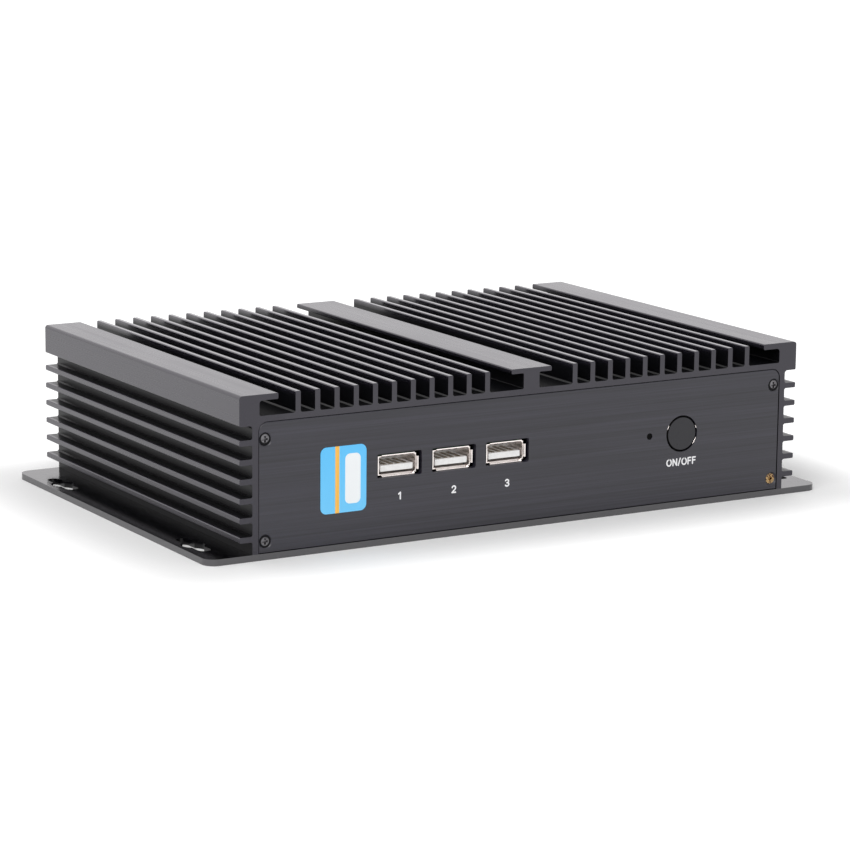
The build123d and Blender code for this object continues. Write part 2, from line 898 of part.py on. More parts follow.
def com_port_nuts():
    """Two hexagonal screws that hold the serial port and take its plug's screws."""
    nuts = []
    for x in com_screw_places():
        hexagon = RegularPolygon(com_nut_across_flats / 2, 6, major_radius=False)
        nut = prism(Pos(x, com_z()) * hexagon, rear_y, rear_y + com_nut_length)
        nut += rod(x, com_z(), com_nut_core_radius, rear_y - com_nut_stem_length, rear_y)
        nuts.append(nut - rod(x, com_z(), com_nut_bore_radius, rear_y + com_nut_core_radius,
                              rear_y + com_nut_length))
    return group(nuts)


def dc_jack_body():
    half = dc_width / 2
    z = dc_z()
    body = block(dc_x - half, dc_x + half, connector_y - dc_length, connector_y, board_z - dc_height, board_z)
    mouth_y = connector_y + dc_nose_reach
    body += rod(dc_x, z, dc_nose_radius, connector_y, mouth_y)
    return body - rod(dc_x, z, dc_bore_radius, mouth_y - dc_bore_depth, mouth_y)


def dc_jack_pin():
    mouth_y = connector_y + dc_nose_reach
    return rod(dc_x, dc_z(), dc_pin_radius, mouth_y - dc_bore_depth, mouth_y - usb_tongue_recess)


def audio_jack(x):
    half = audio_width / 2
    z = audio_z()
    body = block(x - half, x + half, connector_y - audio_length, connector_y, board_z - audio_height, board_z)
    mouth_y = connector_y + audio_nose_reach
    body += rod(x, z, audio_nose_radius, connector_y, mouth_y)
    return body - rod(x, z, audio_bore_radius, mouth_y - audio_bore_depth, mouth_y)


def antenna_plug(x):
    """A push-in plug that closes an unused aerial hole."""
    z = plug_z()
    head = rod(x, z, plug_head_radius, rear_y, rear_y + plug_head_height)
    return head + rod(x, z, plug_barrel_radius, rear_y - plug_length, rear_y)


def mainboard():
    length = board_rear_y - board_front_y
    middle = (board_front_y + board_rear_y) / 2
    board = Pos(0, middle, board_z) * extrude(Rectangle(board_width, length), amount=board_thickness)
    for x, y in board_screw_places():
        board -= post(x, y, board_hole_radius, board_z, board_top_z)
    return board


def board_standoffs():
    """Hexagonal pillars between the ribs of the extrusion and the board, with a stud on top."""
    pillars = []
    for x, y in board_screw_places():
        hexagon = RegularPolygon(standoff_across_flats / 2, 6, major_radius=False)
        pillar = Pos(x, y, board_top_z) * extrude(hexagon, amount=rib_z - board_top_z)
        pillar += post(x, y, board_screw_core_radius, rib_z, rib_z + standoff_stud_length)
        hole = board_screw_core_radius + screw_clearance
        pillars.append(pillar - post(x, y, hole, board_top_z, board_top_z + board_screw_length))
    return group(pillars)


def board_screws():
    screws = []
    for x, y in board_screw_places():
        head = post(x, y, board_screw_head_radius, board_z - board_screw_head_height, board_z)
        screws.append(head + post(x, y, board_screw_core_radius, board_z, board_z + board_screw_length))
    return group(screws)


def square_block(x, y, side, z0, z1):
    return block(x - side / 2, x + side / 2, y - side / 2, y + side / 2, z0, z1)


def cpu_package():
    base_z = board_top_z + processor_height
    package = square_block(0, processor_y, processor_side, board_top_z, base_z)
    return package + square_block(0, processor_y, die_side, base_z, base_z + die_height)


def pad_z():
    return board_top_z + processor_height + die_height


def thermal_pad():
    return square_block(0, processor_y, pad_side, pad_z(), pad_z() + pad_thickness)


def heat_block():
    """An aluminium block that carries the processor's heat up into the finned top."""
    foot_z = pad_z() + pad_thickness
    foot = square_block(0, processor_y, block_foot_side, foot_z, foot_z + block_foot_height)
    return foot + square_block(0, processor_y, block_side, foot_z + block_foot_height, ceiling_z)


def memory_module_z():
    return board_z - memory_socket_height / 2


def memory_socket():
    half = memory_width / 2 + memory_slot_gap
    outer = half + memory_socket_arm
    low_z = board_z - memory_socket_height
    bar_y = memory_y + memory_slot_depth
    socket = block(memory_x - outer, memory_x + outer, bar_y - memory_socket_bar, bar_y, low_z, board_z)
    for side in (-1, 1):
        socket += block(memory_x + side * half, memory_x + side * outer, bar_y,
                        memory_y + memory_length, low_z, board_z)
    z = memory_module_z()
    slot = memory_slot_gap
    return socket - block(memory_x - half, memory_x + half, memory_y, bar_y,
                          z - memory_thickness - slot, z + slot)


def memory_module():
    half = memory_width / 2
    z = memory_module_z()
    module = block(memory_x - half, memory_x + half, memory_y, memory_y + memory_length,
                   z - memory_thickness, z)
    chip_y = memory_y + memory_chip_start
    for i in range(memory_chip_count):
        x = memory_x + (i - (memory_chip_count - 1) / 2) * memory_chip_pitch
        module += block(x - chip_width / 2, x + chip_width / 2, chip_y, chip_y + chip_length,
                        z - memory_thickness - chip_thickness, z - memory_thickness)
    return module


def storage_top_z():
    return board_z - storage_drop


def storage_start_x():
    """The end of the storage module that is in its socket."""
    return storage_x + storage_socket_length - memory_slot_depth


def storage_screw_x():
    return storage_start_x() + storage_length + storage_screw_head_radius / 2


def storage_socket():
    half = storage_width / 2
    end_x = storage_x + storage_socket_length
    socket = block(storage_x, end_x, storage_y - half, storage_y + half,
                   board_z - storage_socket_height, board_z)
    gap = memory_slot_gap
    z = storage_top_z()
    return socket - block(storage_start_x(), end_x, storage_y - half, storage_y + half,
                          z - storage_thickness - gap, z + gap)


def storage_module():
    half = storage_width / 2 - memory_slot_gap
    low_z = storage_top_z() - storage_thickness
    end_x = storage_start_x() + storage_length
    module = block(storage_start_x(), end_x, storage_y - half, storage_y + half, low_z, storage_top_z())
    for i in range(storage_chip_count):
        x = storage_start_x() + storage_chip_start + i * storage_chip_pitch
        module += block(x, x + chip_length, storage_y - chip_width / 2, storage_y + chip_width / 2,
                        low_z - chip_thickness, low_z)
    return module - post(end_x, storage_y, 2 * storage_screw_radius, low_z, storage_top_z())


def storage_standoff():
    """A round pillar beside the free end of the storage module, with a bore for its screw."""
    x = storage_screw_x()
    pillar = post(x, storage_y, storage_screw_head_radius, storage_top_z(), board_z)
    return pillar - post(x, storage_y, storage_screw_radius + screw_clearance, storage_top_z(), board_z)


def storage_screw():
    x = storage_screw_x()
    low_z = storage_top_z() - storage_thickness
    head = post(x, storage_y, storage_screw_head_radius, low_z - storage_thickness, low_z)
    return head + post(x, storage_y, storage_screw_radius, low_z, board_z)


def battery_holder():
    outer = battery_radius + battery_holder_wall
    low_z = board_z - battery_holder_floor - battery_thickness
    holder = post(battery_x, battery_y, outer, low_z, board_z)
    pocket = post(battery_x, battery_y, battery_radius + memory_slot_gap, low_z, board_z - battery_holder_floor)
    finger = block(battery_x - battery_radius / 2, battery_x + battery_radius / 2,
                   battery_y, battery_y + 2 * outer, low_z, board_z - battery_holder_floor)
    return holder - pocket - finger


def coin_battery():
    top = board_z - battery_holder_floor
    return post(battery_x, battery_y, battery_radius, top - battery_thickness, top)


def power_chokes():
    """Square coils of the processor's supply, in a row beside it."""
    y = processor_y - block_side / 2 - choke_side
    first = -(choke_count - 1) / 2
    places = [(first + i) * choke_pitch for i in range(choke_count)]
    return group([square_block(x, y, choke_side, board_top_z, board_top_z + choke_height) for x in places])


def capacitors():
    y = processor_y + block_side / 2 + choke_side
    first = -(capacitor_count - 1) / 2
    places = [(first + i) * capacitor_pitch for i in range(capacitor_count)]
    return group([post(x, y, capacitor_radius, board_top_z, board_top_z + capacitor_height) for x in places])


def board_chips():
    """Flat packages beside the heat block: bridge, two network controllers and start-up memory."""
    chips = []
    for side, across, back in ((bridge_side, -1, 1), (network_side, 1, 1),
                               (network_side, 1, -1), (boot_side, -1, -1)):
        x = across * (block_side / 2 + board_chip_gap + side / 2)
        y = processor_y + back * board_chip_row
        chips.append(square_block(x, y, side, board_top_z, board_top_z + chip_thickness))
    return group(chips)


os.makedirs("parts", exist_ok=True)

front_screws = panel_screws(front_y, 1)
brass_screw = panel_screw_places().index((port_x, port_bottom_z))

nodes = {
    "chassis_extrusion": chassis_extrusion(),
    "base_plate": base_plate(),
    "front_panel": front_panel(),
    "rear_panel": rear_panel(),
    "front_panel_screws": group([s for i, s in enumerate(front_screws) if i != brass_screw]),
    "front_panel_brass_screw": panel_screws(front_y, 1, brass_screw_sink)[brass_screw],
    "rear_panel_screws": group(panel_screws(rear_y, -1)),
    "base_plate_screws": base_plate_screws(),
    "power_button": power_button(),
    "switch_plunger": switch_plunger(),
    "power_switch": power_switch(),
    "led_light_pipe": led_light_pipe(),
    "power_led": power_led(),
    "front_label": front_label(),
    "front_usb_contacts": front_usb_contacts(),
    "rear_usb_contacts": rear_usb_contacts(),
    "lan_contacts": lan_contacts(),
    "hdmi_shell": hdmi_shell(),
    "hdmi_insulator": hdmi_insulator(),
    "com_port_shell": com_port_shell(),
    "com_port_insulator": com_port_insulator(),
    "com_port_pins": com_port_pins(),
    "com_port_nuts": com_port_nuts(),
    "dc_jack_body": dc_jack_body(),
    "dc_jack_pin": dc_jack_pin(),
    "mainboard": mainboard(),
    "board_standoffs": board_standoffs(),
    "board_screws": board_screws(),
    "cpu_package": cpu_package(),
    "thermal_pad": thermal_pad(),
    "heat_block": heat_block(),
    "memory_socket": memory_socket(),
    "memory_module": memory_module(),
    "storage_socket": storage_socket(),
    "storage_module": storage_module(),
    "storage_standoff": storage_standoff(),
    "storage_screw": storage_screw(),
    "battery_holder": battery_holder(),
    "coin_battery": coin_battery(),
    "power_chokes": power_chokes(),
    "capacitors": capacitors(),
    "board_chips": board_chips(),
}
for number, x in enumerate(front_usb_places(), 1):
    nodes[f"front_usb_shell_{number}"] = usb_shell(x)
    nodes[f"front_usb_insulator_{number}"] = usb_insulator(x)
for number, x in enumerate(usb_stack_places(), 1):
    nodes[f"rear_usb_shell_{number}"] = usb_stack_shell(x)
    nodes[f"rear_usb_insulator_{number}"] = usb_stack_insulator(x)
for number, x in enumerate(lan_places(), 1):
    nodes[f"lan_shield_{number}"] = lan_shield(x)
    nodes[f"lan_insert_{number}"] = lan_insert(x)
for number, x in enumerate(audio_places(), 1):
    nodes[f"audio_jack_{number}"] = audio_jack(x)
for number, x in enumerate(plug_places(), 1):
    nodes[f"antenna_plug_{number}"] = antenna_plug(x)

for name, shape in nodes.items():
    export_step(shape, f"parts/{name}.step")
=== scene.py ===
# %% [markdown]
# # A fanless industrial computer, dressed for the studio
#
# The metalwork comes from CAD and arrives here as a frame: each rigid piece is a mesh that
# already lies in its place, in metres, with +X to the right, -Y to the front and +Z up.
# Blender adds what a drawing lacks: finishes, printed marks, small springs and light.
# Loading the frame first means that every later place can be measured on it, not typed.

# %% Load the frame and keep its box
import math

import bpy
import numpy as np
from mathutils import Matrix, Vector


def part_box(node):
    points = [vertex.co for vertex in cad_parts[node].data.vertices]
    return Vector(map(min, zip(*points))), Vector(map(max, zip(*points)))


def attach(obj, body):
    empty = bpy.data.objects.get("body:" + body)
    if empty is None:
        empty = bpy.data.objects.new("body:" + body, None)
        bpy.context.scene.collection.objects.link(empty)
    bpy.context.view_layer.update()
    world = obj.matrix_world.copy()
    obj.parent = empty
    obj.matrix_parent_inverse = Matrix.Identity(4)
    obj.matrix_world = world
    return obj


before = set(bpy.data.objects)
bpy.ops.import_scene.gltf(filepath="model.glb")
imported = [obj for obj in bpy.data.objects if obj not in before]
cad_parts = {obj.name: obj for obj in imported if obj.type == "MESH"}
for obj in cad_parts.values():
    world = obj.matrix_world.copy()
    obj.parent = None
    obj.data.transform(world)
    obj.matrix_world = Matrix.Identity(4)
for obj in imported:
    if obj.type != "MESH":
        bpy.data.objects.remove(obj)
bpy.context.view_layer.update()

MM = 0.001


# %% [markdown]
# ## A small workshop for meshes
#
# New pieces are surfaces: a formula gives a point for each pair of parameters, and numpy works
# out the whole grid in one go. The grid then becomes a mesh with four-sided faces. Moving
# vertices one by one in Python would be slow and would hide the formula.

# %% Turn a grid of points into a piece
def lay_grid(points, close_v=False):
    """Faces of a grid of points (rows u, columns v, 3): each face joins a point, its neighbour
    in v, the one across and its neighbour in u. A closed v joins its last column to its first."""
    rows, columns = points.shape[:2]
    index = np.arange(rows * columns).reshape(rows, columns)
    if close_v:
        index = np.hstack([index, index[:, :1]])
    corners = [index[:-1, :-1], index[:-1, 1:], index[1:, 1:], index[1:, :-1]]
    return points.reshape(-1, 3), np.stack(corners, axis=-1).reshape(-1, 4)


def build_piece(name, parts, material, body="case", smooth=True):
    """One mesh object from several (points, faces) pairs, at the origin, riding on a CAD body."""
    points, faces, start = [], [], 0
    for part_points, part_faces in parts:
        points.append(part_points)
        faces.append(part_faces + start)
        start += len(part_points)
    mesh = bpy.data.meshes.new(name)
    mesh.from_pydata(np.vstack(points).tolist(), [], np.vstack(faces).tolist())
    mesh.polygons.foreach_set("use_smooth", [smooth] * len(mesh.polygons))
    mesh.update()
    piece = bpy.data.objects.new(name, mesh)
    bpy.context.scene.collection.objects.link(piece)
    piece.data.materials.append(material)
    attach(piece, body)
    print(f"{name}: {len(mesh.polygons)} faces")
    return piece


# %% [markdown]
# ## A small workshop for shaders
#
# A material is a graph of nodes, and long graphs are hard to read as code. Here one class wraps
# a socket, so that `streak * 0.2 + 0.4` adds the Math nodes that work it out. Everything that
# isn't arithmetic goes through one method, `node`, which sets a node's choices before its sockets.

# %% Wires that do arithmetic, and finishes made of them
class Wire:
    """An output socket in a graph. Arithmetic on wires adds Math nodes."""

    def __init__(self, graph, socket):
        self.graph = graph
        self.socket = socket

    def __add__(self, other):
        return self.graph.math("ADD", self, other)

    def __radd__(self, other):
        return self.graph.math("ADD", other, self)

    def __sub__(self, other):
        return self.graph.math("SUBTRACT", self, other)

    def __rsub__(self, other):
        return self.graph.math("SUBTRACT", other, self)

    def __mul__(self, other):
        return self.graph.math("MULTIPLY", self, other)

    def __rmul__(self, other):
        return self.graph.math("MULTIPLY", other, self)

    def __gt__(self, other):
        return self.graph.math("GREATER_THAN", self, other)

    def __lt__(self, other):
        return self.graph.math("LESS_THAN", self, other)

    def __abs__(self):
        return self.graph.math("ABSOLUTE", self)


class Graph:
    """A tree of shader nodes, which are all added by the method node."""

    def __init__(self, tree):
        self.tree = tree

    def feed(self, node, key, value):
        """A value or a wire into one socket of a node."""
        socket = node.inputs[key]
        if isinstance(value, Wire):
            self.tree.links.new(value.socket, socket)
        elif socket.type == "RGBA":
            socket.default_value = (*value[:3], 1.0)
        else:
            socket.default_value = value

    def node(self, kind, settings=None, inputs=None, output=0):
        """Adds a node, makes its settings, feeds its sockets and gives back one output."""
        node = self.tree.nodes.new(kind)
        for key, value in (settings or {}).items():
            setattr(node, key, value)
        for key, value in (inputs or {}).items():
            self.feed(node, key, value)
        return Wire(self, node.outputs[output])

    def math(self, operation, first, second=0.0):
        """One step of arithmetic on numbers or wires."""
        return self.node("ShaderNodeMath", {"operation": operation}, {0: first, 1: second})

    def ray(self, kind):
        """1 for one kind of ray, such as Is Camera Ray, and 0 for the others."""
        return self.node("ShaderNodeLightPath", output=kind)

    def looks(self):
        """1 for rays that look at a surface, straight, in a mirror or through glass, and 0 for
        those that only carry light from it."""
        reflected = self.ray("Is Glossy Ray") + self.ray("Is Transmission Ray")
        return self.ray("Is Camera Ray") + reflected


class Finish(Graph):
    """A material that starts with one Principled shader, over which duller ones can be laid.
    Constants go straight to the shader's own sockets."""

    def __init__(self, name, **sockets):
        self.material = bpy.data.materials.new(name)
        self.material.use_nodes = True
        super().__init__(self.material.node_tree)
        self.shader = self.tree.nodes["Principled BSDF"]
        self.surface = Wire(self, self.shader.outputs[0])
        self.wear(**sockets)

    def wear(self, **sockets):
        """Feeds the shader's sockets and gives back the finish."""
        for key, value in sockets.items():
            self.feed(self.shader, key.replace("_", " "), value)
        return self

    def place(self):
        """Where the shaded point is, in the frame's metres."""
        return self.node("ShaderNodeTexCoord", output="Object")

    def axes(self, vector):
        """A vector's X, Y and Z as three wires."""
        split = self.node("ShaderNodeSeparateXYZ", inputs={0: vector}).socket.node
        return [Wire(self, split.outputs[axis]) for axis in ("X", "Y", "Z")]

    def noise(self, stretch, detail=2.0):
        """Noise from 0 to 1 whose grains per metre along X, Y and Z are the stretch."""
        grid = self.node("ShaderNodeMapping", inputs={"Vector": self.place(), "Scale": stretch})
        inputs = {"Vector": grid, "Scale": 1.0, "Detail": detail}
        return self.node("ShaderNodeTexNoise", {"noise_dimensions": "3D"}, inputs)

    def ramp(self, value, start, end):
        """0 where a value is at its start or before, 1 at its end or past it, straight between."""
        inputs = {"Value": value, "From Min": start, "From Max": end}
        return self.node("ShaderNodeMapRange", inputs=inputs)

    def mix(self, amount, first, second):
        """A colour between two colours."""
        inputs = {0: amount, 6: first, 7: second}
        return self.node("ShaderNodeMix", {"data_type": "RGBA"}, inputs, output=2)

    def bump(self, height, depth):
        """Normals of a surface raised by height times depth, in metres."""
        return self.node("ShaderNodeBump", inputs={"Height": height, "Distance": depth})

    def facing(self, axis):
        """1 on faces that look along an axis, either way, and 0 elsewhere."""
        normal = self.node("ShaderNodeNewGeometry", output="Normal")
        return abs(self.axes(normal)["XYZ".index(axis)]) > 0.9

    def lay_over(self, amount, **sockets):
        """One more shader, which hides those before it where the amount is 1."""
        named = {key.replace("_", " "): value for key, value in sockets.items()}
        upper = self.node("ShaderNodeBsdfPrincipled", inputs=named)
        both = {0: amount, 1: self.surface, 2: upper}
        self.surface = self.node("ShaderNodeMixShader", inputs=both)
        self.feed(self.tree.nodes["Material Output"], "Surface", self.surface)


def paint(finish, *nodes):
    """Gives CAD nodes their finish."""
    for name in nodes:
        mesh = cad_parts[name].data
        mesh.materials.clear()
        mesh.materials.append(finish.material)
    print(f"{finish.material.name} on {', '.join(nodes)}")


# %% [markdown]
# ## Black anodised aluminium
#
# The case is one length of extruded aluminium, anodised black. The dye leaves a deep violet
# grey that is almost matt seen from above and turns pale at a low angle, because the clear
# oxide on top reflects like glass. A metal shader would tint every reflection, so the base
# stays non-metallic with a high index, and faint streaks along Y show how it left the die. The
# rails are handled most and the sawn ends are rough, so both spread their reflections more.

# %% Finish of the extrusion
DYE = (0.0062, 0.0056, 0.009)
DYE_WORN = (0.0238, 0.0210, 0.031)
SAWN = (0.013, 0.0122, 0.019)
RAIL_INNER = 85.0 * MM
RAIL_MIDDLE = 8.0 * MM
SMOOTHEST = 0.075
ROUGHER = {"streak": 0.10, "cloud": 0.06, "end": 0.15, "rail": 0.12}
DIE_RELIEF = 0.012 * MM

anodised = Finish("black_anodised", IOR=1.62, Specular_Tint=(0.97, 0.94, 1.0))
place_x, _, place_z = anodised.axes(anodised.place())
rail = (abs(place_x) > RAIL_INNER) + (abs(place_x) < RAIL_MIDDLE)
streak = anodised.noise((900.0, 9.0, 900.0))
cloud = anodised.noise((45.0, 30.0, 45.0), detail=4.0)
end_face = anodised.facing("Y")
saw = anodised.noise((350.0, 350.0, 2500.0))
skin = anodised.mix(streak * 0.55 + cloud * 0.45, DYE, DYE_WORN)
drawn = streak * ROUGHER["streak"] + cloud * ROUGHER["cloud"]
anodised.wear(
    Base_Color=anodised.mix(end_face * (saw * 0.3 + 0.7), skin, SAWN),
    Roughness=drawn + end_face * ROUGHER["end"] + rail * ROUGHER["rail"] + SMOOTHEST,
    Normal=anodised.bump(streak * 0.7 + cloud * 0.3, DIE_RELIEF),
)
print("rails from", RAIL_INNER, "m outwards and within", RAIL_MIDDLE, "m of the middle")


# %% [markdown]
# Down in the grooves the skin is painted near black and dull: this is painted shade, for the
# shade that falls between the fins. How deep a point lies is the smaller of its distances to the
# sides and to the top of the case, and a second, darker and duller shader takes over with that
# depth. The floors between the top fins lie deepest and get a third one, duller still.

# %% Painted shade in the grooves
GROOVE_START = 0.3 * MM
GROOVE_FULL = 1.6 * MM
FLOOR_START = 4.8 * MM
FLOOR_FULL = 6.0 * MM
PAINTED_GROOVE_SHADE = (0.003, 0.003, 0.004)

_, case_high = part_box("chassis_extrusion")
from_side = case_high.x - abs(place_x)
from_top = case_high.z - place_z
inset = anodised.math("MINIMUM", from_side, from_top)
# Painted shade: the deeper a point lies in a groove, the more a near-black, dull skin covers it, and
# more again on the groove floors.
groove_shade_mask = anodised.ramp(inset, GROOVE_START, GROOVE_FULL) * (1.0 - end_face)
anodised.lay_over(groove_shade_mask, Base_Color=PAINTED_GROOVE_SHADE, Roughness=0.35, IOR=1.26)
groove_floor_shade_mask = anodised.ramp(inset, FLOOR_START, FLOOR_FULL) * anodised.facing("Z")
anodised.lay_over(groove_floor_shade_mask, Base_Color=PAINTED_GROOVE_SHADE, Roughness=0.50, IOR=1.12)
paint(anodised, "chassis_extrusion")


# %% [markdown]
# ## Brushed panels
#
# The front and rear panels are sheet, brushed along their width before anodising. Brushing is
# many fine scratches in one direction, so the noise is stretched: few grains along X, many
# along Z. The same streaks vary the dye, the roughness and a very shallow bump.

# %% Finish of the panels
PANEL_DARK = (0.004, 0.0035, 0.008)
PANEL_LIGHT = (0.028, 0.026, 0.040)
SCRATCH_DEPTH = 0.010 * MM

brushed = Finish("brushed_black_panel", IOR=1.58)
hair = brushed.noise((22.0, 22.0, 2400.0), detail=3.0)
band = brushed.noise((5.0, 5.0, 420.0))
scratches = brushed.ramp(hair * 0.6 + band * 0.4, 0.3, 0.7)
brushed.wear(
    Base_Color=brushed.mix(scratches, PANEL_DARK, PANEL_LIGHT),
    Roughness=hair * 0.20 + 0.28,
    Normal=brushed.bump(hair, SCRATCH_DEPTH),
)
paint(brushed, "front_panel", "rear_panel")


# %% [markdown]
# ## The base plate
#
# The plate is steel with a satin black coat. Powder paint dries with a fine orange peel, which
# is a low rounded bump. The outer edges get a painted highlight, a paler colour, while the
# walls of the keyholes keep their black. A point belongs to the outer edge if it lies close to
# either limit.

# %% Finish of the base plate
COAT = (0.0015, 0.0015, 0.002)
COAT_LIGHT = (0.004, 0.0038, 0.005)
PAINTED_EDGE_HIGHLIGHT = (0.10, 0.098, 0.103)
RIM = 1.3 * MM
PEEL_DEPTH = 0.006 * MM

coated = Finish("satin_black_coat", IOR=1.42)
peel = coated.noise((700.0, 700.0, 700.0))
_, plate_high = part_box("base_plate")
plate_x, plate_y, _ = coated.axes(coated.place())
near_limit = (abs(plate_x) > plate_high.x - RIM) + (abs(plate_y) > plate_high.y - RIM)
# Painted highlight: the outer side faces of the plate are painted paler.
edge_highlight_mask = coated.ramp(near_limit, 0.0, 1.0) * (1.0 - coated.facing("Z"))
coated.wear(
    Base_Color=coated.mix(edge_highlight_mask, coated.mix(peel, COAT, COAT_LIGHT), PAINTED_EDGE_HIGHLIGHT),
    Roughness=peel * 0.08 + 0.12,
    Normal=coated.bump(peel, PEEL_DEPTH),
)
paint(coated, "base_plate")


# %% [markdown]
# ## Screws, contacts and bright sheet metal
#
# Bare metal has no colour of its own below its reflection, so these finishes are metallic and
# differ in tint and roughness. A slow cloud of roughness keeps plated sheet from looking
# like a mirror that has never been touched.

# %% One recipe for the metals
METAL_CLOUD = 0.14
METAL_RELIEF = 0.004 * MM


def metal(name, colour, dull, rough, grain=600.0, spread=0.5):
    """A metallic finish between two colours, its roughness clouded around a middle value. A small
    spread of the cloud round its middle gives patches with clear edges."""
    finish = Finish(name, Metallic=1.0)
    cloud = finish.noise((grain, grain, grain), detail=3.0)
    patch = finish.ramp(cloud, 0.5 - spread, 0.5 + spread)
    return finish.wear(
        Base_Color=finish.mix(patch, colour, dull),
        Roughness=cloud * METAL_CLOUD + (rough - METAL_CLOUD / 2),
        Normal=finish.bump(cloud, METAL_RELIEF),
    )


# %% Bright, yellow and tarnished metals
brass = metal("turned_brass", (0.86, 0.62, 0.25), (0.60, 0.38, 0.14), 0.24)
tarnish = metal("tarnished_brass", (0.52, 0.35, 0.16), (0.09, 0.055, 0.045), 0.30, 1400.0, 0.07)
nickel = metal("bright_nickel", (0.97, 0.90, 0.87), (0.86, 0.79, 0.76), 0.20)
# Painted light: the front shells get a lighter copy of the nickel, so that their lips look brighter.
nickel_painted_lighter = metal("nickel_painted_lighter", (1.0, 0.94, 0.91), (0.94, 0.87, 0.84), 0.22)
bronze = metal("spring_bronze", (0.30, 0.24, 0.15), (0.16, 0.12, 0.08), 0.20)
gold = metal("gold_plating", (0.92, 0.70, 0.32), (0.80, 0.58, 0.24), 0.22)
alloy = metal("milled_aluminium", (0.80, 0.80, 0.82), (0.66, 0.66, 0.68), 0.34)

front_shells = [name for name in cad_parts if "front_usb_shell" in name]
rear_shells = [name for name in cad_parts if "rear_usb_shell" in name]
paint(tarnish, "front_panel_brass_screw")
paint(brass, "board_standoffs")
paint(nickel_painted_lighter, *front_shells)
paint(nickel, *rear_shells, "hdmi_shell", "com_port_shell", "com_port_nuts")
paint(nickel, "lan_shield_1", "lan_shield_2")
paint(nickel, "board_screws", "storage_screw", "storage_standoff", "coin_battery", "dc_jack_pin")
paint(bronze, "front_usb_contacts")
paint(gold, "rear_usb_contacts", "lan_contacts", "com_port_pins")
paint(alloy, "heat_block", "capacitors")


# %% [markdown]
# The black screws sit a little below the panel, so the rim of each head lies in shadow, and
# that shade is painted on as a dark, dull skin. How far a point is from its screw's axis gives
# that rim. A panel has a screw near each corner, so X and Z are first folded about the panel's
# middle, and one formula serves all four. The screws under the base plate lie past the rim by
# this measure, and are painted dark and dull all over.

# %% Black screws with painted shade on the rim
RIM_SHADE_START = 0.70
RIM_SHADE_FULL = 0.86
PAINTED_RIM_SHADE = (0.004, 0.004, 0.005)

screw_low, screw_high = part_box("front_panel_brass_screw")
_, row_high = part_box("front_panel_screws")
head_radius = (screw_high.x - screw_low.x) / 2
screw_x = screw_high.x - head_radius
row_middle = (screw_low.z + row_high.z) / 2
row_half = row_high.z - head_radius - row_middle
print("screw heads in mm:", round(2 * head_radius / MM, 2))

oxide = metal("black_oxide_steel", (0.20, 0.195, 0.205), (0.10, 0.097, 0.104), 0.34, spread=0.2)
oxide_x, _, oxide_z = oxide.axes(oxide.place())
off_x = abs(oxide_x) - screw_x
off_z = abs(oxide_z - row_middle) - row_half
from_axis = oxide.math("SQRT", off_x * off_x + off_z * off_z)
# Painted shade: a near-black, dull skin over the rim of each head.
rim_shade_mask = oxide.ramp(from_axis, RIM_SHADE_START * head_radius, RIM_SHADE_FULL * head_radius)
oxide.lay_over(rim_shade_mask, Base_Color=PAINTED_RIM_SHADE, Roughness=0.5, IOR=1.2)
paint(oxide, "front_panel_screws", "rear_panel_screws", "base_plate_screws")


# %% [markdown]
# ## Moulded plastics
#
# Injection mouldings carry the texture of their mould: a soft, even grain that breaks up the
# highlight. One recipe with a colour and a sheen covers the white tongues of the sockets, the
# black connector bodies, the chip packages and the pad under the heat block. The button's cap
# shines on its face only. Its side stands in a narrow gap, where shade falls, and that shade is
# painted on as a near-black, dull skin.

# %% One recipe for the mouldings
GRIT_CONTRAST = 0.12
GRIT_ROUGHNESS = 0.12
GRIT_DEPTH = 0.006 * MM


def moulding(name, colour, rough, grain=1500.0, ior=1.5):
    """A plastic of one colour, a little lighter and darker in its grain, with a mould texture."""
    finish = Finish(name, IOR=ior)
    grit = finish.noise((grain, grain, grain))
    light = tuple(min(1.0, (1 + GRIT_CONTRAST) * part) for part in colour)
    dark = tuple((1 - GRIT_CONTRAST) * part for part in colour)
    return finish.wear(
        Base_Color=finish.mix(grit, dark, light),
        Roughness=grit * GRIT_ROUGHNESS + (rough - GRIT_ROUGHNESS / 2),
        Normal=finish.bump(grit, GRIT_DEPTH),
    )


# %% The mouldings and their nodes
SHADE = (0.002, 0.002, 0.002)

white_nylon = moulding("white_nylon", (0.95, 0.94, 0.93), 0.30)
black_nylon = moulding("black_nylon", (0.018, 0.018, 0.019), 0.44)
cap_black = moulding("button_black", (0.015, 0.0145, 0.019), 0.30, ior=1.44)
chip_black = moulding("chip_package", (0.030, 0.030, 0.032), 0.50)
pad_grey = moulding("silicone_pad", (0.36, 0.38, 0.41), 0.65)
# Painted shade: the clear light pipe is painted near black, for the dark hole it sits in.
light_pipe_shade = moulding("light_pipe_in_shade", SHADE, 0.60, ior=1.15)
# Painted shade: the button cap's side, which stands in the gap, is near black and dull.
cap_side_shade_mask = 1.0 - cap_black.facing("Y")
cap_black.lay_over(cap_side_shade_mask, Base_Color=SHADE, Roughness=0.6, IOR=1.15)

inserts = [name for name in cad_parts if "lan_insert" in name or "audio_jack" in name]
stacks = [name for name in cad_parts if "rear_usb_insulator" in name or "antenna_plug" in name]
tongues = [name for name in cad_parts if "front_usb_insulator" in name]
paint(white_nylon, *tongues)
paint(black_nylon, *inserts, *stacks, "hdmi_insulator", "com_port_insulator", "dc_jack_body")
paint(black_nylon, "power_switch", "power_led", "memory_socket", "storage_socket", "battery_holder")
paint(cap_black, "power_button", "switch_plunger")
paint(chip_black, "cpu_package", "board_chips", "power_chokes")
paint(pad_grey, "thermal_pad")
paint(light_pipe_shade, "led_light_pipe")


